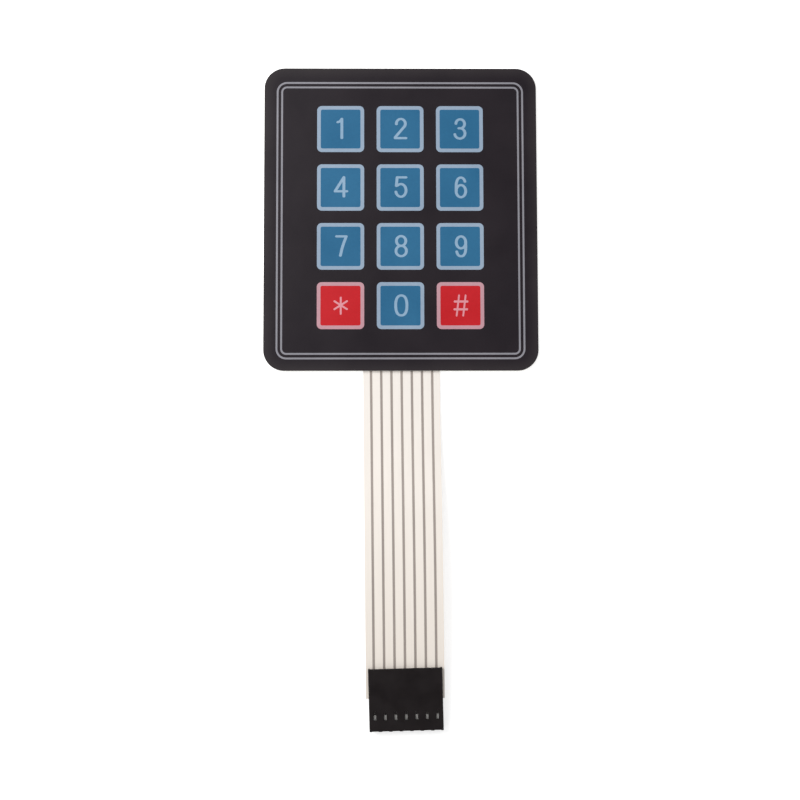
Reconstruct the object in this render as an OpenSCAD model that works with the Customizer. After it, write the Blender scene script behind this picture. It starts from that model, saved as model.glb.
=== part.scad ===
// Membrane keypad: a bonded stack of printed films with twelve flat keys, a film tail that is
// cut in one piece with the lower circuit film, and a single-row socket crimped to the tail.
// The origin is the middle of the panel's back face, with +Z out of the keys and the tail
// running towards -Y. All sizes are in millimetres.

/* [Panel] */
// Width of the key panel
panel_w = 68.7; // [64:0.1:90]
// Height of the key panel, without the tail
panel_h = 77; // [74:0.1:100]
// Radius of the panel's corners
panel_corner_r = 5.2; // [1:0.1:10]

/* [Layers] */
// Thickness of the paper liner on the back
liner_t = 0.1; // [0.05:0.01:0.3]
// Thickness of the adhesive that the liner covers
rear_adhesive_t = 0.08; // [0.03:0.01:0.2]
// Thickness of each circuit film
film_t = 0.125; // [0.075:0.005:0.2]
// Thickness of the printed silver conductors
ink_t = 0.02; // [0.01:0.005:0.04]
// Thickness of the spacer between the circuit films
spacer_t = 0.18; // [0.1:0.01:0.4]
// Thickness of the adhesive under the graphic overlay
overlay_adhesive_t = 0.05; // [0.03:0.01:0.15]
// Thickness of the graphic overlay
overlay_t = 0.25; // [0.15:0.01:0.5]
// Depth of the coloured print in the face of the overlay
print_t = 0.03; // [0.01:0.005:0.1]

/* [Keys] */
// Distance between key centres, across and down
key_pitch = 15; // [13.5:0.1:17]
// Outer width and height of a key's printed frame
key_size = 11.85; // [9:0.05:13]
// Width of the line of a key's frame
key_line = 0.92; // [0.4:0.02:2]
// Radius of the frame's outer corners
key_corner_r = 1.2; // [0.3:0.1:3]
// Radius of the coloured field's corners, inside the frame
field_corner_r = 0.45; // [0.1:0.05:1]
// Distance of the key grid's middle above the panel's middle
key_grid_up = 0.35; // [-1:0.05:1]
// Distance that the whole print lies to the right of the panel's middle
print_right = -0.1; // [-1:0.05:1]

/* [Border] */
// Distance from the panel's edge to the middle of the outer border line
border_inset = 3.42; // [2:0.02:5]
// Distance between the middles of the two border lines
border_spacing = 1.15; // [0.7:0.05:2]
// Width of each border line
border_line = 0.46; // [0.2:0.02:0.6]
// Radius of the outer border line at its corners, to the middle of the line
border_corner_r = 2.4; // [1.6:0.1:5]
// Distance of the border's middle above the panel's middle
border_up = -0.35; // [-1:0.05:1]

/* [Switch circuit] */
// Diameter of the round openings in the spacer, one under each key
aperture_d = 9; // [6:0.1:10]
// Diameter of the silver contact discs
disc_d = 7; // [3:0.1:8]
// Width of the conductors inside the panel
track_w = 0.8; // [0.4:0.05:1.2]
// Distance between neighbouring conductors that run side by side
track_pitch = 1.5; // [1.3:0.05:1.8]
// Distance from a spacer opening to the nearest conductor that passes it
track_clearance = 2.4; // [1.5:0.1:3]
// Width of the air channels that join the spacer openings
vent_w = 1; // [0.4:0.1:2]
// Diameter of the conductive dots that join the two circuit films
bridge_d = 1.6; // [1:0.1:1.7]
// Distance of the conductive dots from the panel's lower edge
bridge_inset = 4; // [3:0.1:5]

/* [Tail] */
// Distance between neighbouring conductors of the tail and between the socket's ways
pitch = 2.54; // [2.3:0.01:3]
// Width of each conductor on the tail
tail_track_w = 0.6; // [0.3:0.05:1]
// Width of film outside the middle of the outer conductors
tail_margin = 1.98; // [1.4:0.02:3]
// Distance from the panel's edge to the back of the socket
tail_run = 72.9; // [40:0.1:120]
// Length over which the tail stays flat beside the panel
tail_lead = 3; // [1:0.5:10]
// Distance that the tail leaves the panel to the right of its middle
tail_right = 0.12; // [-5:0.05:5]
// Angle that the tail leans to the right
tail_lean = 0.5; // [-2:0.1:2]

/* [Socket housing] */
// Length of the housing, along the pins
housing_len = 15.35; // [14.6:0.05:18]
// Width of the housing outside the outer ways, on each side
housing_side = 0.14; // [0:0.02:0.4]
// Thickness of the housing
housing_h = 2.54; // [2.4:0.02:3.2]
// Angle that the housing's mating end dips, so that it lies on its front edge
housing_dip = 6.5; // [0:0.5:12]
// Angle that the socket is crimped askew on the film, which turns its mating end to the right
housing_turn = 0.9; // [-2:0.1:2]
// Width of the bevel along the housing's outer edges
edge_bevel = 0.15; // [0.05:0.01:0.2]
// Depth of the mouth at the back of the housing, before the walls between the cavities begin
mouth_depth = 0.8; // [0.3:0.05:0.85]
// Wall between two cavities
cell_wall = 0.55; // [0.4:0.05:0.8]
// Thickness of the front wall that the pins enter through
front_wall = 1; // [0.8:0.05:1.4]
// Side of the square hole for a pin
pin_hole = 0.9; // [0.7:0.05:1.2]
// Width of the lead-in at the mouth of a pin hole
funnel_w = 1.8; // [1.3:0.05:2]
// Height of the lead-in at its mouth, which notches the edges of the mating face
funnel_h = 3.1; // [2.8:0.05:3.3]
// Depth of the lead-in
funnel_depth = 0.6; // [0.3:0.05:0.75]
// Height of the slot that the film lies in
slot_h = 0.6; // [0.5:0.05:0.8]
// Length of film inside the housing
film_depth = 7.55; // [7:0.05:8]
// Width of a latch window
window_w = 0.56; // [0.5:0.02:1.3]
// Length of a latch window
window_len = 2.2; // [1.6:0.1:2.6]
// Distance from the mating face to the near end of a latch window
window_from_face = 2.8; // [2:0.1:3.4]
// Width of a latch tongue
latch_w = 0.34; // [0.24:0.02:0.4]
// Length of a latch tongue
latch_len = 0.85; // [0.5:0.05:1]

/* [Contacts] */
// Thickness of the contacts' sheet metal
sheet_t = 0.2; // [0.12:0.01:0.25]
// Height of the box that takes the pin
box_h = 1.5; // [1.3:0.05:1.7]
// Length of the box that takes the pin
box_len = 5.6; // [5:0.1:6]
// Clearance between a contact's box and its cavity, on each side
box_clearance = 0.12; // [0.05:0.01:0.2]
// Width of the leaf that presses on the pin
leaf_w = 0.7; // [0.4:0.05:1]
// Thickness of the leaf
leaf_t = 0.15; // [0.1:0.01:0.2]
// Height of the leaf's crest over the floor of the box
leaf_rise = 0.4; // [0.3:0.02:0.5]
// Distance from the front of the box to the leaf's crest
leaf_crest = 2; // [1.2:0.1:3]
// Gap between the leaf's tip and the floor of the box
leaf_gap = 0.05; // [0.02:0.01:0.1]
// Length of the plate under the film
crimp_len = 5.6; // [5:0.1:6]
// Distance from the back of the housing to the plate
crimp_inset = 0.9; // [0.5:0.05:1.2]
// Distance from a contact's middle to the inner face of its claws
claw_x = 0.62; // [0.5:0.02:0.68]
// Length of a claw, along the tail
claw_len = 0.9; // [0.5:0.05:1.3]
// Length of a claw's tip that is folded over the conductor
claw_fold = 0.45; // [0.2:0.05:0.5]
// Clearance round a claw where it goes through the film
claw_clearance = 0.02; // [0.01:0.01:0.05]

/* [Hidden] */
$fn = 96;
rows = 4;
columns = 3;
ways = rows + columns;
claws_per_side = 3;
// Straight pieces that each bend of the tail is made of
bend_steps = 24;
// Overrun that carries a cut past the faces that it opens
cut = 0.5;

// Heights of the layers above the mounting face
rear_adhesive_z = liner_t;
lower_film_z = rear_adhesive_z + rear_adhesive_t;
lower_ink_z = lower_film_z + film_t;
spacer_z = lower_ink_z + ink_t;
upper_ink_z = spacer_z + spacer_t;
upper_film_z = upper_ink_z + ink_t;
overlay_adhesive_z = upper_film_z + film_t;
overlay_z = overlay_adhesive_z + overlay_adhesive_t;
print_z = overlay_z + overlay_t - print_t;

// Key centres, counted from the top left key
function column_x(i) = print_right + (i - (columns - 1) / 2) * key_pitch;
function row_y(j) = key_grid_up + ((rows - 1) / 2 - j) * key_pitch;
field_size = key_size - 2 * key_line;

// Sides of the outer border line's middle
border_w = panel_w - 2 * border_inset;
border_h = panel_h - 2 * border_inset;

// Conductors of the tail, counted from the left, in the tail's own frame
function way_x(i) = (i - (ways - 1) / 2) * pitch;
tail_w = (ways - 1) * pitch + 2 * tail_margin;
housing_w = ways * pitch + 2 * housing_side;

// Runs of the rows' conductors: down the left side, then along the bottom to the tail
bus_x = column_x(0) - aperture_d / 2 - track_clearance;
run_y = row_y(rows - 1) - aperture_d / 2 - track_clearance;
function row_bus_x(j) = bus_x - (rows - 1 - j) * track_pitch;
function row_run_y(j) = run_y - (rows - 1 - j) * track_pitch;
bridge_y = -panel_h / 2 + bridge_inset;

// Side view of the tail: a flat lead, a bend upwards and an equal bend downwards that meet
// tangentially, then the straight end in the housing. Points are [outwards, up].
tail_z = lower_film_z + film_t / 2;
// Reach of the housing's lowest corner, which lies on the ground
corner_reach = (housing_len - edge_bevel) * cos(housing_turn)
    + (housing_w / 2 - edge_bevel) * sin(abs(housing_turn));
entry_z = corner_reach * sin(housing_dip) + housing_h / 2 * cos(housing_dip);
tail_chord = [tail_lead - tail_run, tail_z - entry_z];
end_normals = [sin(housing_dip), 1 + cos(housing_dip)];
chord_fall = tail_chord * end_normals;
chord_square = tail_chord * tail_chord;
normal_spread = 4 - end_normals * end_normals;
bend_r = chord_square / (sqrt(chord_fall * chord_fall + normal_spread * chord_square) - chord_fall);
crest_out = tail_run - bend_r * sin(housing_dip);
crest_z = entry_z - bend_r * cos(housing_dip);
rise_angle = asin((crest_out - tail_lead) / (2 * bend_r));

// Cavities and contacts, in the housing's frame: the film's middle plane is z = 0, the back
// of the housing is y = 0 and its mating face is at y = -housing_len
cavity_w = pitch - cell_wall;
cavity_h = box_h + 2 * box_clearance;
box_w = cavity_w - 2 * box_clearance;
box_front = -housing_len + front_wall + box_clearance;
box_back = box_front + box_len;
crimp_front = -crimp_inset - crimp_len;
claw_pitch = (crimp_len - claw_len) / (claws_per_side - 1);
claw_top = film_t / 2 + ink_t;
window_front = -housing_len + window_from_face;
window_back = window_front + window_len;
latch_tip = window_back - latch_len;
// The slot clears the corner of the film that the turn carries deeper into the housing
slot_depth = film_depth + housing_w / 2 * tan(abs(housing_turn)) + box_clearance;

// Flat shapes

// Rectangle with round corners, about its middle
module rounded_rectangle(w, h, r) {
    square([w - 2 * r, h], center = true);
    square([w, h - 2 * r], center = true);
    for (x = [-1, 1], y = [-1, 1])
        translate([x * (w / 2 - r), y * (h / 2 - r)]) circle(r);
}

module panel_outline() rounded_rectangle(panel_w, panel_h, panel_corner_r);

// A sheet of the stack with the panel's own outline
module panel_sheet(z, t) translate([0, 0, z]) linear_extrude(t) panel_outline();

// Copies at the keys that are in the list, numbered across and down from the top left
module at_keys(list) {
    for (k = list)
        translate([column_x(k % columns), row_y(floor(k / columns))]) children();
}

all_keys = [0 : rows * columns - 1];
red_keys = [(rows - 1) * columns, rows * columns - 1];
blue_keys = [for (k = all_keys) if (k != red_keys[0] && k != red_keys[1]) k];

module key_field() rounded_rectangle(field_size, field_size, field_corner_r);

module key_frame() {
    difference() {
        rounded_rectangle(key_size, key_size, key_corner_r);
        key_field();
    }
}

// One of the two border lines, at a distance inside the outer one
module border_loop(inside) {
    w = border_w - 2 * inside;
    h = border_h - 2 * inside;
    r = border_corner_r - inside;
    half = border_line / 2;
    translate([print_right, border_up]) difference() {
        rounded_rectangle(w + border_line, h + border_line, r + half);
        rounded_rectangle(w - border_line, h - border_line, r - half);
    }
}

module border() {
    border_loop(0);
    border_loop(border_spacing);
}

// Straight conductor along X or Y between two points, with square ends
module track(from, to) {
    low = [min(from.x, to.x), min(from.y, to.y)];
    high = [max(from.x, to.x), max(from.y, to.y)];
    translate([low.x - track_w / 2, low.y - track_w / 2])
        square([high.x - low.x + track_w, high.y - low.y + track_w]);
}

// The tail

// Moves into the tail's frame: its middle at the panel's lower edge, -Y outwards
module in_tail() translate([tail_right, -panel_h / 2, 0]) rotate([0, 0, tail_lean]) children();

// Moves into the housing's frame, seen from the tail's frame
module at_entry() {
    translate([0, -tail_run, entry_z]) rotate([housing_dip, 0, 0]) rotate([0, 0, housing_turn])
        children();
}

module in_housing() in_tail() at_entry() children();

// The panel's x of a tail conductor where it is at height y
function way_at(i, y) = tail_right + way_x(i) - (y + panel_h / 2) * tan(tail_lean);

// Solid between a side view, given as [y, z] points, and a width along X
module across(w, points) rotate([90, 0, 90]) linear_extrude(w, center = true) polygon(points);

// Points [y, z] of a line that follows the tail at height n over the film's middle plane. It
// starts inside the panel by the length of its root.
function tail_line(n, root) = concat(
    [[root, tail_z + n]],
    [for (k = [0 : bend_steps]) let (a = rise_angle * k / bend_steps)
        [-tail_lead - (bend_r - n) * sin(a), tail_z + bend_r - (bend_r - n) * cos(a)]],
    [for (k = [1 : bend_steps]) let (a = rise_angle - (rise_angle + housing_dip) * k / bend_steps)
        [-crest_out + (bend_r + n) * sin(a), crest_z + (bend_r + n) * cos(a)]],
    [[-tail_run - film_depth * cos(housing_dip) - n * sin(housing_dip),
        entry_z - film_depth * sin(housing_dip) + n * cos(housing_dip)]]);

function reversed(list) = [for (k = [len(list) - 1 : -1 : 0]) list[k]];

// A strip of the tail, between two heights over the film's middle plane
module tail_strip(x, w, n_from, n_to, root) {
    translate([x, 0, 0]) across(w, concat(tail_line(n_from, root), reversed(tail_line(n_to, root))));
}

module at_claws() {
    for (i = [0 : ways - 1], side = [-1, 1], k = [0 : claws_per_side - 1])
        translate([way_x(i) + side * (claw_x + sheet_t / 2), crimp_front + claw_len / 2 + k * claw_pitch])
            children();
}

// Slits in the film that the claws go through
module claw_slits() {
    side = [sheet_t + 2 * claw_clearance, claw_len + 2 * claw_clearance, film_t + 2 * cut];
    at_claws() cube(side, center = true);
}

// The stack, from the back

module release_liner() color([0.93, 0.91, 0.84]) panel_sheet(0, liner_t);

module rear_adhesive() color([0.96, 0.94, 0.84]) panel_sheet(rear_adhesive_z, rear_adhesive_t);

module lower_circuit_film() {
    color([0.95, 0.94, 0.91]) difference() {
        union() {
            panel_sheet(lower_film_z, film_t);
            in_tail() tail_strip(0, tail_w, -film_t / 2, film_t / 2, bridge_inset);
        }
        in_housing() claw_slits();
    }
}

// Row circuit: three discs in line, joined to the left side and led down to the tail
module row_circuit(j) {
    corner = [row_bus_x(j), row_run_y(j)];
    for (i = [0 : columns - 1])
        translate([column_x(i), row_y(j)]) circle(d = disc_d);
    track([column_x(columns - 1), row_y(j)], [corner.x, row_y(j)]);
    track([corner.x, row_y(j)], corner);
    track(corner, [way_at(j, corner.y), corner.y]);
}

module tail_track(i, root) {
    in_tail() tail_strip(way_x(i), tail_track_w, film_t / 2, film_t / 2 + ink_t, root);
}

module lower_tracks() {
    color([0.66, 0.63, 0.6]) {
        for (j = [0 : rows - 1]) {
            translate([0, 0, lower_ink_z]) linear_extrude(ink_t) row_circuit(j);
            tail_track(j, row_run_y(j) + panel_h / 2);
        }
        for (i = [0 : columns - 1]) {
            translate([way_at(rows + i, bridge_y), bridge_y, lower_ink_z])
                cylinder(d = bridge_d, h = ink_t);
            tail_track(rows + i, bridge_inset);
        }
    }
}

module at_bridges() {
    for (i = [0 : columns - 1])
        translate([way_at(rows + i, bridge_y), bridge_y]) children();
}

module spacer() {
    color([0.85, 0.87, 0.88]) translate([0, 0, spacer_z]) linear_extrude(spacer_t) difference() {
        panel_outline();
        at_keys(all_keys) circle(d = aperture_d);
        for (i = [0 : columns - 1])
            translate([column_x(i) - vent_w / 2, row_y(rows - 1)])
                square([vent_w, (rows - 1) * key_pitch]);
        at_bridges() circle(d = bridge_d);
    }
}

module bridge_dots() {
    color([0.7, 0.69, 0.67]) at_bridges() translate([0, 0, spacer_z]) cylinder(d = bridge_d, h = spacer_t);
}

// Column circuit: four discs in line, led down and across to the column's conductive dot
module column_circuit(i) {
    end = [way_at(rows + i, bridge_y), bridge_y];
    // The middle columns turn above the first one, so that no two runs cross
    turn_y = bridge_y + (i > 0 && i < columns - 1 ? track_pitch : 0);
    for (j = [0 : rows - 1])
        translate([column_x(i), row_y(j)]) circle(d = disc_d);
    track([column_x(i), row_y(0)], [column_x(i), turn_y]);
    track([column_x(i), turn_y], [end.x, turn_y]);
    track([end.x, turn_y], end);
    translate(end) circle(d = bridge_d);
}

module upper_tracks() {
    color([0.7, 0.68, 0.66]) translate([0, 0, upper_ink_z]) linear_extrude(ink_t)
        for (i = [0 : columns - 1]) column_circuit(i);
}

module upper_circuit_film() color([0.94, 0.94, 0.93]) panel_sheet(upper_film_z, film_t);

module overlay_adhesive() color([0.92, 0.91, 0.86]) panel_sheet(overlay_adhesive_z, overlay_adhesive_t);

// Printed colours, level with the overlay's face
module printed() translate([0, 0, print_z]) linear_extrude(print_t) children();

module graphic_overlay() {
    color([0.17, 0.15, 0.16]) difference() {
        panel_sheet(overlay_z, overlay_t);
        translate([0, 0, print_z]) linear_extrude(print_t + cut) {
            at_keys(all_keys) rounded_rectangle(key_size, key_size, key_corner_r);
            border();
        }
    }
}

module key_fields_blue() color([0.22, 0.45, 0.61]) printed() at_keys(blue_keys) key_field();

module key_fields_red() color([0.8, 0.16, 0.18]) printed() at_keys(red_keys) key_field();

module key_frames() color([0.7, 0.71, 0.77]) printed() at_keys(all_keys) key_frame();

module border_lines() color([0.66, 0.65, 0.69]) printed() border();

// The socket

// Square lead-in that narrows from the mating face to the pin hole
module funnel() {
    mouth = -housing_len - cut;
    throat = -housing_len + funnel_depth;
    // The mouth is carried on past the face at the same slope
    w = pin_hole / 2 + (funnel_w - pin_hole) / 2 * (throat - mouth) / funnel_depth;
    h = pin_hole / 2 + (funnel_h - pin_hole) / 2 * (throat - mouth) / funnel_depth;
    intersection() {
        across(2 * w, [[mouth, -h], [mouth, h], [throat, pin_hole / 2], [throat, -pin_hole / 2]]);
        translate([0, 0, -h]) linear_extrude(2 * h)
            polygon([[-w, mouth], [w, mouth], [pin_hole / 2, throat], [-pin_hole / 2, throat]]);
    }
}

// What is cut out of the housing for one way
module cell_cuts() {
    cavity_len = housing_len - front_wall;
    translate([-cavity_w / 2, -cavity_len, -cavity_h / 2]) cube([cavity_w, cavity_len + cut, cavity_h]);
    translate([-pin_hole / 2, -housing_len - cut, -pin_hole / 2])
        cube([pin_hole, front_wall + 2 * cut, pin_hole]);
    translate([-window_w / 2, window_front, 0]) cube([window_w, window_len, housing_h]);
    funnel();
}

// Springy tongue from the back of a window, whose tip drops into the contact's latch hole
module latch() {
    top = housing_h / 2;
    bottom = cavity_h / 2;
    drop = box_clearance + sheet_t;
    across(latch_w, [[window_back + cut, bottom], [window_back + cut, top], [window_back, top],
        [latch_tip, top - drop], [latch_tip, bottom - drop], [window_back, bottom]]);
}

// Points of a rectangle between two corners, with bevelled corners
function bevelled(low, high) = [[low.x + edge_bevel, low.y], [high.x - edge_bevel, low.y],
    [high.x, low.y + edge_bevel], [high.x, high.y - edge_bevel], [high.x - edge_bevel, high.y],
    [low.x + edge_bevel, high.y], [low.x, high.y - edge_bevel], [low.x, low.y + edge_bevel]];

// Outside of the housing, with its edges bevelled in all three views
module housing_block() {
    w = housing_w / 2;
    h = housing_h / 2;
    intersection() {
        across(housing_w, bevelled([-housing_len, -h], [0, h]));
        translate([0, 0, -h]) linear_extrude(housing_h) polygon(bevelled([-w, -housing_len], [w, 0]));
        rotate([90, 0, 0]) linear_extrude(housing_len) polygon(bevelled([-w, -h], [w, h]));
    }
}

module connector_housing() {
    mouth_w = (ways - 1) * pitch + cavity_w;
    color([0.13, 0.13, 0.13]) in_housing() {
        difference() {
            housing_block();
            for (i = [0 : ways - 1]) translate([way_x(i), 0, 0]) cell_cuts();
            translate([-mouth_w / 2, -mouth_depth, -cavity_h / 2])
                cube([mouth_w, mouth_depth + cut, cavity_h]);
            translate([-housing_w / 2 - cut, -slot_depth, -slot_h / 2])
                cube([housing_w + 2 * cut, slot_depth + cut, slot_h]);
        }
        for (i = [0 : ways - 1]) translate([way_x(i), 0, 0]) latch();
    }
}

// Box that takes the pin, open at both ends, with a latch hole in its top and a leaf inside
module contact_box() {
    inner_w = box_w - 2 * sheet_t;
    inner_h = box_h - 2 * sheet_t;
    floor_z = -inner_h / 2;
    // The leaf comes up from the back of the box's floor to a crest and ends just above the floor
    root = floor_z - sheet_t / 2;
    tip = floor_z + leaf_gap;
    crest = floor_z + leaf_rise;
    crest_y = box_front + leaf_crest;
    leaf_front = box_front + sheet_t;
    difference() {
        translate([-box_w / 2, box_front, -box_h / 2]) cube([box_w, box_len, box_h]);
        translate([-inner_w / 2, box_front - cut, floor_z]) cube([inner_w, box_len + 2 * cut, inner_h]);
        translate([-latch_w / 2 - box_clearance, latch_tip - box_clearance, 0])
            cube([latch_w + 2 * box_clearance, latch_len + box_clearance, box_h]);
    }
    across(leaf_w, [[box_back, root], [crest_y, crest - leaf_t], [leaf_front, tip],
        [leaf_front, tip + leaf_t], [crest_y, crest], [box_back, root + leaf_t]]);
}

// Claw that comes up through the film and folds over the conductor
module claw(side) {
    root = -film_t / 2 - sheet_t;
    x = side > 0 ? claw_x : -claw_x - sheet_t;
    tip_x = side > 0 ? claw_x - claw_fold : -claw_x - sheet_t;
    translate([x, -claw_len / 2, root]) cube([sheet_t, claw_len, claw_top + sheet_t - root]);
    translate([tip_x, -claw_len / 2, claw_top]) cube([claw_fold + sheet_t, claw_len, sheet_t]);
}

// Contact of one way: the box, a stepped neck, the plate under the film and its claws
module contact(i) {
    plate_top = -film_t / 2;
    box_bottom = -box_h / 2;
    color([0.8, 0.79, 0.76]) in_housing() translate([way_x(i), 0, 0]) {
        contact_box();
        // The neck runs on into the box's floor and into the plate by the thickness of the sheet
        across(2 * claw_x, [[box_back - sheet_t, box_bottom], [box_back, box_bottom],
            [crimp_front, plate_top - sheet_t], [crimp_front + sheet_t, plate_top - sheet_t],
            [crimp_front + sheet_t, plate_top], [crimp_front, plate_top],
            [box_back, box_bottom + sheet_t], [box_back - sheet_t, box_bottom + sheet_t]]);
        translate([-claw_x - sheet_t, crimp_front, plate_top - sheet_t])
            cube([2 * (claw_x + sheet_t), crimp_len, sheet_t]);
        for (side = [-1, 1], k = [0 : claws_per_side - 1])
            translate([0, crimp_front + claw_len / 2 + k * claw_pitch, 0]) claw(side);
    }
}

release_liner();
rear_adhesive();
lower_circuit_film();
lower_tracks();
spacer();
bridge_dots();
upper_tracks();
upper_circuit_film();
overlay_adhesive();
graphic_overlay();
key_fields_blue();
key_fields_red();
key_frames();
border_lines();
connector_housing();
for (i = [0 : ways - 1])
    contact(i);
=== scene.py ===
"""Looks of the membrane keypad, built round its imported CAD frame."""

import math

import bmesh
import bpy
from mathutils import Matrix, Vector
from mathutils.geometry import delaunay_2d_cdt


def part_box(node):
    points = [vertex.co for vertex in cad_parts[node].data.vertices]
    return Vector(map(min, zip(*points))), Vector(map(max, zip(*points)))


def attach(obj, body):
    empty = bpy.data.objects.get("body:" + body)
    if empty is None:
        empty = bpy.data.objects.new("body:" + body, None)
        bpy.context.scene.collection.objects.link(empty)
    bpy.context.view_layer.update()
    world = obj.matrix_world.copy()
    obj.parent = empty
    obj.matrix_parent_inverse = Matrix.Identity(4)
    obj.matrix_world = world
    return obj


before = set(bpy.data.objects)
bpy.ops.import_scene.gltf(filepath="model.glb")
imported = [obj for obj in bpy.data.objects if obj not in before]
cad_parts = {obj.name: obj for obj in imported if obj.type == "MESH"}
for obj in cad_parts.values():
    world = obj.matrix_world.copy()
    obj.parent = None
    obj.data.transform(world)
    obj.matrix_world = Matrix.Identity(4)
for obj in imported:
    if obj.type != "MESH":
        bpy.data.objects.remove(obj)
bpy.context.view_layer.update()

MM = 0.001
WHITE = (1, 1, 1, 1)

# Most values of a noise texture lie between these
NOISE_LOW = 0.3
NOISE_HIGH = 0.7

# Radius of the panel's corners and width of the lighter rim along its edge, in millimetres
PANEL_CORNER = 5.2
RIM_WIDTH = 2.6

# Half the width of the band, between two keys, in which the tint of light print changes, in millimetres
TINT_EDGE = 0.5

# Places along the tail between which the film's colour darkens a little towards the socket, a painted
# shade, in millimetres
FILM_NEAR = -40
FILM_FAR = -115


def srgb(red, green, blue):
    """The linear colour that a display shows as these values of 0 to 255."""

    def channel(value):
        value /= 255
        return value / 12.92 if value <= 0.04045 else ((value + 0.055) / 1.055) ** 2.4

    return (channel(red), channel(green), channel(blue), 1.0)


def grey(value):
    return (value, value, value, 1)


class Graph:
    """A node tree, with a call for each kind of step in it."""

    def __init__(self, tree):
        self.tree = tree

    def add(self, kind, **settings):
        node = self.tree.nodes.new(kind)
        for key, value in settings.items():
            setattr(node, key, value)
        return node

    def link(self, output, socket):
        self.tree.links.new(output, socket)

    def spread(self, value, low, high, start=NOISE_LOW, end=NOISE_HIGH):
        """From low, where the value is at start, to high, where it is at end."""
        node = self.add("ShaderNodeMapRange")
        limits = {"From Min": start, "From Max": end, "To Min": low, "To Max": high}
        for socket, number in limits.items():
            node.inputs[socket].default_value = number
        self.link(value, node.inputs["Value"])
        return node.outputs["Result"]

    def math(self, operation, value, other=None):
        """Of a socket and either nothing, a number or another socket."""
        node = self.add("ShaderNodeMath", operation=operation)
        self.link(value, node.inputs[0])
        if isinstance(other, float):
            node.inputs[1].default_value = other
        elif other is not None:
            self.link(other, node.inputs[1])
        return node.outputs["Value"]

    def vector(self, operation, value, other=None):
        """Of a vector socket and either nothing or a vector of numbers."""
        node = self.add("ShaderNodeVectorMath", operation=operation)
        self.link(value, node.inputs[0])
        if other is not None:
            node.inputs[1].default_value = other
        return node.outputs["Vector"]

    def length(self, vector):
        node = self.add("ShaderNodeVectorMath", operation="LENGTH")
        self.link(vector, node.inputs["Vector"])
        return node.outputs["Value"]

    def axis(self, vector, name):
        """The part of a vector along one axis."""
        node = self.add("ShaderNodeSeparateXYZ")
        self.link(vector, node.inputs["Vector"])
        return node.outputs[name]

    def seen_ray(self):
        """1 for rays that show the background: straight from the camera, mirrored or refracted."""
        path = self.add("ShaderNodeLightPath").outputs
        seen = self.math("MAXIMUM", path["Is Camera Ray"], path["Is Glossy Ray"])
        return self.math("MAXIMUM", seen, path["Is Transmission Ray"])


class Finish(Graph):
    """A Principled material whose textures are laid out in the part's own millimetres."""

    def __init__(self, name, **sockets):
        self.material = bpy.data.materials.new(name)
        self.material.use_nodes = True
        super().__init__(self.material.node_tree)
        self.shader = self.tree.nodes["Principled BSDF"]
        for socket, value in sockets.items():
            self.shader.inputs[socket.replace("_", " ")].default_value = value
        place = self.add("ShaderNodeTexCoord")
        scale = self.add("ShaderNodeVectorMath", operation="SCALE")
        scale.inputs["Scale"].default_value = 1 / MM
        self.link(place.outputs["Object"], scale.inputs["Vector"])
        self.millimetres = scale.outputs["Vector"]

    def noise(self, size, detail, stretch=(1, 1, 1), turn=0):
        """Noise with grains of about that many millimetres, longer along a stretched axis."""
        mapping = self.add("ShaderNodeMapping")
        mapping.inputs["Rotation"].default_value = (0, 0, math.radians(turn))
        mapping.inputs["Scale"].default_value = [1 / s for s in stretch]
        self.link(self.millimetres, mapping.inputs["Vector"])
        texture = self.add("ShaderNodeTexNoise")
        texture.inputs["Scale"].default_value = 1 / size
        texture.inputs["Detail"].default_value = detail
        self.link(mapping.outputs["Vector"], texture.inputs["Vector"])
        return texture.outputs["Fac"]

    def ramp(self, value, low, high, start=NOISE_LOW, end=NOISE_HIGH):
        """From the colour low, where the value is at start, to the colour high, where it is at end."""
        node = self.add("ShaderNodeValToRGB")
        for element, place, colour in zip(node.color_ramp.elements, (start, end), (low, high)):
            element.position = place
            element.color = colour
        self.link(value, node.inputs["Fac"])
        return node.outputs["Color"]

    def tones(self, noise, dark, light):
        """Between two colours as a display shows them."""
        return self.ramp(noise, srgb(*dark), srgb(*light))

    def blend(self, kind, colour, other, share=None):
        """Of two colours, with the second one in full or by a share."""
        node = self.add("ShaderNodeMix", data_type="RGBA", blend_type=kind)
        node.inputs["Factor"].default_value = 1
        if share is not None:
            self.link(share, node.inputs["Factor"])
        self.link(colour, node.inputs["A"])
        self.link(other, node.inputs["B"])
        return node.outputs["Result"]

    def shaded(self, colour, noise, deepest, end=NOISE_HIGH):
        """A colour times a shade that fades out where the noise rises to end."""
        return self.blend("MULTIPLY", colour, self.ramp(noise, deepest, WHITE, end=end))

    def colour(self, output):
        self.link(output, self.shader.inputs["Base Color"])

    def roughness(self, noise, low, high):
        self.link(self.spread(noise, low, high), self.shader.inputs["Roughness"])

    def bump(self, height, depth, below=None):
        """Relief of that depth in millimetres, laid over another relief."""
        node = self.add("ShaderNodeBump")
        node.inputs["Distance"].default_value = depth * MM
        self.link(height, node.inputs["Height"])
        if below is not None:
            self.link(below, node.inputs["Normal"])
        self.link(node.outputs["Normal"], self.shader.inputs["Normal"])
        return node.outputs["Normal"]


def key_grid():
    """Middle of the grid of keys and the distance between them, in millimetres."""
    low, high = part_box("key_fields_blue")
    size = (high - low) / MM
    # The fields stand four high and three wide, so the sides differ by one pitch
    return (low + high) / 2 / MM, size.y - size.x


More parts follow.
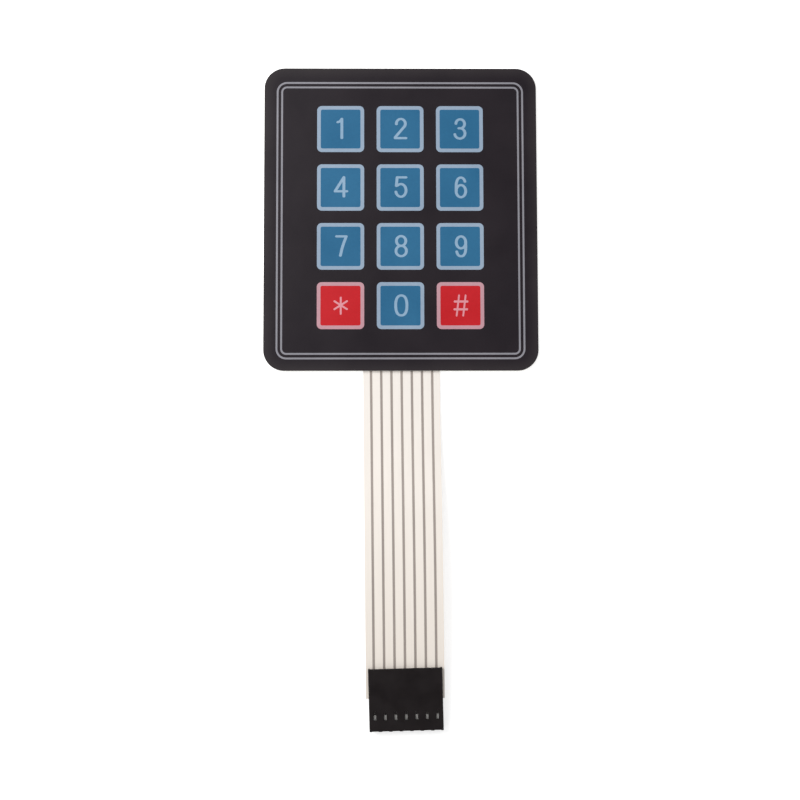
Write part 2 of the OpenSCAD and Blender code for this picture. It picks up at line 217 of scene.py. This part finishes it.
def on_red_keys(f):
    """1 on the keys at both ends of the bottom row, whose fields are red, and 0 on the others."""
    middle, pitch = key_grid()
    row_edge = middle.y - pitch
    column_edge = pitch / 2
    below = f.spread(f.axis(f.millimetres, "Y"), 1, 0, row_edge - TINT_EDGE, row_edge + TINT_EDGE)
    aside = f.math("ABSOLUTE", f.math("SUBTRACT", f.axis(f.millimetres, "X"), middle.x))
    aside = f.spread(aside, 0, 1, column_edge - TINT_EDGE, column_edge + TINT_EDGE)
    return f.math("MULTIPLY", below, aside)


# Mask of a band of lighter colour along the panel's cut edge
def lighter_rim(f):
    """1 at the panel's rounded cut edge and 0 further in than RIM_WIDTH."""
    low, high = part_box("graphic_overlay")
    middle = (low + high) / 2 / MM
    inset = (high - low) / 2 / MM - Vector((PANEL_CORNER, PANEL_CORNER, 0))
    offset = f.vector("ABSOLUTE", f.vector("SUBTRACT", f.millimetres, middle))
    outside = f.vector("MAXIMUM", f.vector("SUBTRACT", offset, inset), (0, 0, 0))
    return f.spread(f.length(outside), 0, 1, PANEL_CORNER - RIM_WIDTH, PANEL_CORNER)


def printed_film(name, dark, light, over_red=None, rim=None):
    """A colour of the overlay's matte polyester face, with its fine velvet grain."""
    f = Finish(name, Specular_IOR_Level=0.33)
    cloud = f.noise(size=14, detail=3)
    grain = f.noise(size=0.22, detail=3)
    speckle = f.noise(size=0.6, detail=4)
    base = f.tones(cloud, dark, light)
    if over_red:
        # Light ink is thin, so the colour of a field shows through it
        base = f.blend("MIX", base, f.tones(cloud, *over_red), on_red_keys(f))
    if rim:
        # The colour is lighter in a band along the cut edge
        base = f.blend("MIX", base, f.tones(cloud, *rim), lighter_rim(f))
    f.colour(f.shaded(base, speckle, grey(0.94)))
    f.roughness(cloud, low=0.42, high=0.52)
    swell = f.bump(cloud, depth=0.12)
    f.bump(grain, depth=0.012, below=swell)
    return f.material


def milky_film(name, near, far):
    """White polyester film, faintly streaked, with painted shade that darkens it a little from near the
    panel to far from it.
    """
    f = Finish(name, Specular_IOR_Level=0.35)
    streak = f.noise(size=0.9, detail=3, stretch=(1, 30, 1))
    cloud = f.noise(size=9, detail=2)
    # Painted shade: the film's colour darkens a little along the tail, away from the panel
    painted_shade_along_tail = f.spread(f.axis(f.millimetres, "Y"), 0, 1, FILM_NEAR, FILM_FAR)
    base = f.ramp(painted_shade_along_tail, srgb(*near), srgb(*far), start=0, end=1)
    f.colour(f.shaded(base, streak, (0.975, 0.972, 0.965, 1)))
    f.roughness(cloud, low=0.36, high=0.5)
    wave = f.bump(cloud, depth=0.1)
    f.bump(streak, depth=0.004, below=wave)
    return f.material


def silver_ink(name, dark, light):
    """Printed silver paste: grey flakes in a dull binder."""
    f = Finish(name, Metallic=0.2, Specular_IOR_Level=0.4)
    flake = f.noise(size=0.07, detail=3)
    cloud = f.noise(size=3, detail=2, stretch=(1, 8, 1))
    f.colour(f.shaded(f.tones(flake, dark, light), cloud, grey(0.9)))
    f.roughness(flake, low=0.42, high=0.6)
    f.bump(flake, depth=0.004)
    return f.material


def clear_film(name, dark, light, roughness):
    """Spacer and adhesive sheets, seen only at their cut edges."""
    f = Finish(name)
    cloud = f.noise(size=1.5, detail=3)
    grain = f.noise(size=0.08, detail=2)
    f.colour(f.tones(cloud, dark, light))
    f.roughness(grain, low=roughness - 0.08, high=roughness + 0.08)
    f.bump(grain, depth=0.004)
    return f.material


def liner_paper(name, dark, light):
    """Siliconised paper with crossing fibres."""
    f = Finish(name, Specular_IOR_Level=0.3)
    fibre = f.noise(size=0.25, detail=4, stretch=(1, 9, 1), turn=24)
    cross = f.noise(size=0.3, detail=4, stretch=(8, 1, 1), turn=-17)
    cloud = f.noise(size=11, detail=3)
    f.colour(f.shaded(f.tones(cloud, dark, light), fibre, (0.93, 0.92, 0.9, 1), end=0.6))
    f.roughness(cross, low=0.38, high=0.55)
    relief = f.bump(cross, depth=0.01)
    f.bump(fibre, depth=0.012, below=relief)
    return f.material


def black_nylon(name, dark, light):
    """Moulded black nylon with a fine spark-eroded grain."""
    f = Finish(name, Specular_IOR_Level=0.2)
    grain = f.noise(size=0.13, detail=3)
    cloud = f.noise(size=4, detail=3)
    f.colour(f.tones(cloud, dark, light))
    f.roughness(cloud, low=0.4, high=0.52)
    swell = f.bump(cloud, depth=0.05)
    f.bump(grain, depth=0.012, below=swell)
    return f.material


def tinned_metal(name, dark, light):
    """Tin over bronze sheet, with fine draw lines along the contact."""
    f = Finish(name, Metallic=0.45)
    line = f.noise(size=0.05, detail=3, stretch=(1, 25, 1))
    cloud = f.noise(size=0.8, detail=2)
    f.colour(f.shaded(f.tones(cloud, dark, light), line, (0.9, 0.895, 0.89, 1)))
    f.roughness(cloud, low=0.34, high=0.5)
    f.bump(line, depth=0.003)
    return f.material


# The far colour of the film is a little darker, as painted shade along the tail
FILM = milky_film("milky_film", (254, 247, 240), (254, 245, 235))
TRACKS = silver_ink("silver_ink", (161, 150, 143), (189, 178, 171))
CONTACT = tinned_metal("tinned_metal", (224, 222, 218), (240, 239, 236))

FINISHES = {
    "release_liner": liner_paper("liner_paper", (238, 233, 217), (242, 238, 224)),
    "rear_adhesive": clear_film("rear_adhesive", (226, 218, 192), (236, 230, 208), roughness=0.3),
    "lower_circuit_film": FILM,
    "lower_tracks": TRACKS,
    "spacer": clear_film("spacer_film", (208, 212, 214), (222, 225, 226), roughness=0.35),
    "bridge_dots": TRACKS,
    "upper_tracks": TRACKS,
    "upper_circuit_film": FILM,
    "overlay_adhesive": clear_film("overlay_adhesive", (222, 218, 204), (233, 230, 218), roughness=0.3),
    "graphic_overlay": printed_film(
        "overlay_black", (26, 18, 26), (30, 21, 29), rim=((43, 37, 41), (47, 41, 44))
    ),
    "key_fields_blue": printed_film("blue_print", (34, 102, 143), (40, 109, 150)),
    "key_fields_red": printed_film("red_print", (198, 13, 26), (206, 20, 33)),
    "key_frames": printed_film(
        "frame_print", (149, 169, 191), (156, 176, 197), over_red=((198, 150, 160), (204, 156, 166))
    ),
    "border_lines": printed_film("border_print", (141, 140, 148), (151, 149, 157)),
    "connector_housing": black_nylon("black_nylon", (25, 20, 21), (32, 27, 28)),
}

for name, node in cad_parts.items():
    node.data.materials.clear()
    node.data.materials.append(CONTACT if name.startswith("contact_") else FINISHES[name])


def add_object(name, data):
    """A new object in the scene."""
    added = bpy.data.objects.new(name, data)
    bpy.context.scene.collection.objects.link(added)
    return added


# Legends: light print on the key fields

# Widths of upright and of level strokes, in millimetres
DIGIT_PEN = (0.72, 0.57)
SIGN_PENS = {"star": (0.48, 0.48), "hash": (0.44, 0.54)}

# Thickness of the print, and how far its outlines may be off, in millimetres
LEGEND_RISE = 0.012
OUTLINE_SLACK = 0.004

# Degrees from point to point of an arc, and corners of the pen's outline
ARC_STEP = 6
PEN_SIDES = 20

# The kind of triangulation that fills the convex hull, and the distance within which points are one
FILL_HULL = 0
SAME_POINT = 1e-5


def arc(x, y, rx, ry, start, end, power=2.0):
    """Points of an elliptic arc in degrees, squarer for a power above 2."""
    steps = int(abs(end - start) / ARC_STEP)
    points = []
    for k in range(steps + 1):
        a = math.radians(start + (end - start) * k / steps)
        c, s = math.cos(a), math.sin(a)
        points.append(
            (
                x + rx * math.copysign(abs(c) ** (2 / power), c),
                y + ry * math.copysign(abs(s) ** (2 / power), s),
            )
        )
    return points


# Centre lines of each legend's strokes, in millimetres from the middle of its key
LEGENDS = {
    "1": [[(-0.72, 1.76), (-0.1, 2.0), (0.3, 2.6), (0.3, -2.3)]],
    "2": [
        arc(0.2, 1.4, 1.13, 1.2, 186, -40) + [(-1.24, -2.12), (-1.24, -2.32)],
        [(-1.24, -2.32), (1.48, -2.32)],
    ],
    "3": [
        arc(0.21, 1.37, 1.09, 1.16, 178, -78) + [(-0.15, 0.22)],
        [(-0.15, 0.22)] + arc(0.11, -1.1, 1.29, 1.33, 78, -170),
    ],
    "4": [[(0.83, -2.28), (0.83, 2.62), (-1.4, -0.97), (1.58, -0.97)]],
    "5": [
        [(1.46, 2.6), (-0.76, 2.6), (-0.98, 0.4)]
        + arc(0.17, -0.73, 1.29, 1.62, 128, -167),
    ],
    "6": [
        arc(0.28, -0.92, 1.2, 1.55, 0, 360),
        arc(0.28, 0.1, 1.2, 2.44, 200, 33, power=2.3),
    ],
    "7": [[(-1.0, 2.53), (1.44, 2.53), (0.84, 0.95), (0.36, -0.6), (-0.04, -2.36)]],
    "8": [
        arc(0.19, 1.37, 1.17, 1.23, 0, 360),
        arc(0.21, -1.17, 1.31, 1.31, 0, 360),
    ],
    "9": [
        arc(0.23, 1.01, 1.19, 1.52, 0, 360),
        arc(0.23, 0.0, 1.19, 2.5, 22, -153, power=2.5),
    ],
    "0": [arc(0.2, 0.04, 1.4, 2.51, 0, 360, power=2.4)],
    "star": [
        [(0.06, 2.0), (0.06, -2.08)],
        [(-1.52, 1.1), (1.62, -0.88)],
        [(-1.52, -0.9), (1.62, 1.12)],
    ],
    "hash": [
        [(-0.35, 2.54), (-0.96, -2.5)],
        [(1.3, 2.54), (0.68, -2.5)],
        [(-1.46, 1.02), (1.76, 1.02)],
        [(-1.54, -0.95), (1.68, -0.95)],
    ],
}
KEY_ROWS = (("1", "2", "3"), ("4", "5", "6"), ("7", "8", "9"), ("star", "0", "hash"))


def oval(x, y, rx, ry):
    turn = math.tau / PEN_SIDES
    return [(x + rx * math.cos(k * turn), y + ry * math.sin(k * turn)) for k in range(PEN_SIDES)]


def stroke_shapes(points, pen):
    """Convex outlines that cover the stroke of an oval pen: one per straight piece and per point."""
    rx, ry = pen[0] / 2, pen[1] / 2
    shapes = [oval(x, y, rx, ry) for x, y in points]
    for (x0, y0), (x1, y1) in zip(points, points[1:]):
        # The points of the pen that lie farthest to both sides of the way it goes
        reach = math.hypot(rx * (y0 - y1), ry * (x1 - x0))
        u, v = rx * rx * (y0 - y1) / reach, ry * ry * (x1 - x0) / reach
        shapes.append([(x0 - u, y0 - v), (x1 - u, y1 - v), (x1 + u, y1 + v), (x0 + u, y0 + v)])
    return shapes


def thinned(points):
    """Fewer points of a line, so that none left out lies farther than OUTLINE_SLACK from it."""
    first, last = points[0], points[-1]
    way = (last - first).normalized()
    offsets = [abs(way.cross(p - first)) for p in points]
    farthest = max(range(len(points)), key=offsets.__getitem__)
    if offsets[farthest] <= OUTLINE_SLACK:
        return [first, last]
    return thinned(points[: farthest + 1])[:-1] + thinned(points[farthest:])


def triangulate(shapes, wanted):
    """Points of flat shapes, and the triangles that lie in a wanted number of them."""
    points, faces = [], []
    for shape in shapes:
        faces.append(range(len(points), len(points) + len(shape)))
        points.extend(Vector(p) for p in shape)
    flat, _, triangles, _, _, covers = delaunay_2d_cdt(points, [], faces, FILL_HULL, SAME_POINT)
    return flat, [t for t, cover in zip(triangles, covers) if wanted(len(cover))]


def borders(triangles):
    """Edges that belong to one triangle only, with that triangle on their left."""
    edges = set()
    for t in triangles:
        for a, b in zip(t, [*t[1:], t[0]]):
            if (b, a) in edges:
                edges.remove((b, a))
            else:
                edges.add((a, b))
    return sorted(edges)


def outlines(shapes):
    """Closed outlines of the union of flat shapes and of its holes, all anticlockwise."""
    flat, triangles = triangulate(shapes, lambda count: count > 0)
    after = dict(borders(triangles))
    loops = []
    while after:
        loop = [*after.popitem()]
        while loop[-1] != loop[0]:
            loop.append(after.pop(loop[-1]))
        loop = [flat[v] for v in loop]
        far = max(range(len(loop)), key=lambda k: (loop[k] - loop[0]).length)
        loop = thinned(loop[: far + 1])[:-1] + thinned(loop[far:])[:-1]
        area = sum(p.cross(q) for p, q in zip(loop, [*loop[1:], loop[0]]))
        loops.append(loop if area > 0 else loop[::-1])
    return loops


def add_print(bm, shapes, low, high):
    """Adds the union of flat shapes as a closed slab between two heights."""
    # What lies in two outlines is a hole
    flat, triangles = triangulate(outlines(shapes), lambda count: count == 1)
    lower = [bm.verts.new((p.x * MM, p.y * MM, low)) for p in flat]
    upper = [bm.verts.new((p.x * MM, p.y * MM, high)) for p in flat]
    for t in triangles:
        bm.faces.new([upper[v] for v in t])
        bm.faces.new([lower[v] for v in reversed(t)])
    for a, b in borders(triangles):
        bm.faces.new([lower[a], lower[b], upper[b], upper[a]])


def make_legends():
    middle, pitch = key_grid()
    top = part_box("key_fields_blue")[1].z
    bm = bmesh.new()
    for row, names in enumerate(KEY_ROWS):
        y = middle.y + ((len(KEY_ROWS) - 1) / 2 - row) * pitch
        for column, name in enumerate(names):
            x = middle.x + (column - (len(names) - 1) / 2) * pitch
            pen = SIGN_PENS.get(name, DIGIT_PEN)
            shapes = []
            for line in LEGENDS[name]:
                shapes += stroke_shapes([(x + u, y + v) for u, v in line], pen)
            add_print(bm, shapes, top, top + LEGEND_RISE * MM)
    mesh = bpy.data.meshes.new("key_legends")
    bm.to_mesh(mesh)
    bm.free()
    ink = printed_film(
        "legend_print", (141, 173, 200), (147, 178, 204), over_red=((227, 149, 159), (231, 154, 164))
    )
    mesh.materials.append(ink)
    piece = add_object("key_legends", mesh)
    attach(piece, "root")


make_legends()


# Floor, light and camera

# Half the floor's side in metres, and its distance below the part in millimetres
FLOOR_HALF = 4.0
FLOOR_DROP = 0.02

# The floor's own white by the object and away from it, and where it changes, in millimetres
FLOOR_GLOW = 0.57
FAR_GLOW = 0.66
GLOW_START = 150
GLOW_END = 900

# The world's light on the object, and how bright its top is seen
WORLD_LIGHT = 0.5
CEILING = 0.12

# Upward parts of a direction between which the seen world goes from white to the ceiling
HORIZON = 0.45
OVERHEAD = 0.95

# Square lamp: place, aim and side in metres, and power in watts
LAMP_PLACE = Vector((-0.3, 0.13, 0.32))
LAMP_AIM = Vector((0, -0.02, 0))
LAMP_SIDE = 0.3
LAMP_POWER = 1.7

# Camera fitted to the photograph: place, lens and sensor in millimetres, turns in degrees
CAMERA_PLACE = Vector((-5.405, -78.34, 372.38))
CAMERA_TURNS = (5.0005, -0.7895, -0.142)
LENS = 67.5
SENSOR = 36

# What the camera sees, in metres from it
SIGHT_START = 0.01
SIGHT_END = 20


def make_floor():
    mesh = bpy.data.meshes.new("floor")
    corners = [
        (x * FLOOR_HALF, y * FLOOR_HALF, -FLOOR_DROP * MM)
        for x, y in ((-1, -1), (1, -1), (1, 1), (-1, 1))
    ]
    mesh.from_pydata(corners, [], [(0, 1, 2, 3)])
    f = Finish("floor_white", Specular_IOR_Level=0.0, Roughness=0.9, Emission_Color=WHITE)
    f.colour(f.ramp(f.noise(size=60, detail=2), grey(0.875), grey(0.885)))
    # Away from the object the lamp falls off, so the floor's own white takes over there
    glow = f.spread(f.length(f.millimetres), FLOOR_GLOW, FAR_GLOW, GLOW_START, GLOW_END)
    f.link(f.math("MULTIPLY", glow, f.seen_ray()), f.shader.inputs["Emission Strength"])
    mesh.materials.append(f.material)
    floor = add_object("floor", mesh)


def make_world():
    world = bpy.data.worlds.new("studio")
    world.use_nodes = True
    g = Graph(world.node_tree)
    background = g.tree.nodes["Background"]
    background.inputs["Color"].default_value = WHITE
    # White round the horizon and darker overhead, where the camera of a studio hangs
    direction = g.add("ShaderNodeTexCoord").outputs["Generated"]
    seen = g.spread(g.axis(direction, "Z"), 1, CEILING, HORIZON, OVERHEAD)
    strength = g.add("ShaderNodeMix")
    g.link(g.seen_ray(), strength.inputs["Factor"])
    strength.inputs["A"].default_value = WORLD_LIGHT
    g.link(seen, strength.inputs["B"])
    g.link(strength.outputs["Result"], background.inputs["Strength"])
    bpy.context.scene.world = world


def make_lamp():
    data = bpy.data.lights.new("key_lamp", "AREA")
    data.size = LAMP_SIDE
    data.energy = LAMP_POWER
    lamp = add_object("key_lamp", data)
    lamp.location = LAMP_PLACE
    lamp.rotation_mode = "QUATERNION"
    lamp.rotation_quaternion = (LAMP_AIM - LAMP_PLACE).to_track_quat("-Z", "Y")
    lamp.visible_camera = False


def make_camera():
    data = bpy.data.cameras.new("camera")
    data.sensor_width = SENSOR
    data.lens = LENS
    data.clip_start = SIGHT_START
    data.clip_end = SIGHT_END
    camera = add_object("camera", data)
    camera.location = CAMERA_PLACE * MM
    camera.rotation_mode = "ZXY"
    camera.rotation_euler = [math.radians(turn) for turn in CAMERA_TURNS]
    bpy.context.scene.camera = camera


make_floor()
make_world()
make_lamp()
make_camera()
bpy.context.scene.view_settings.view_transform = "Standard"
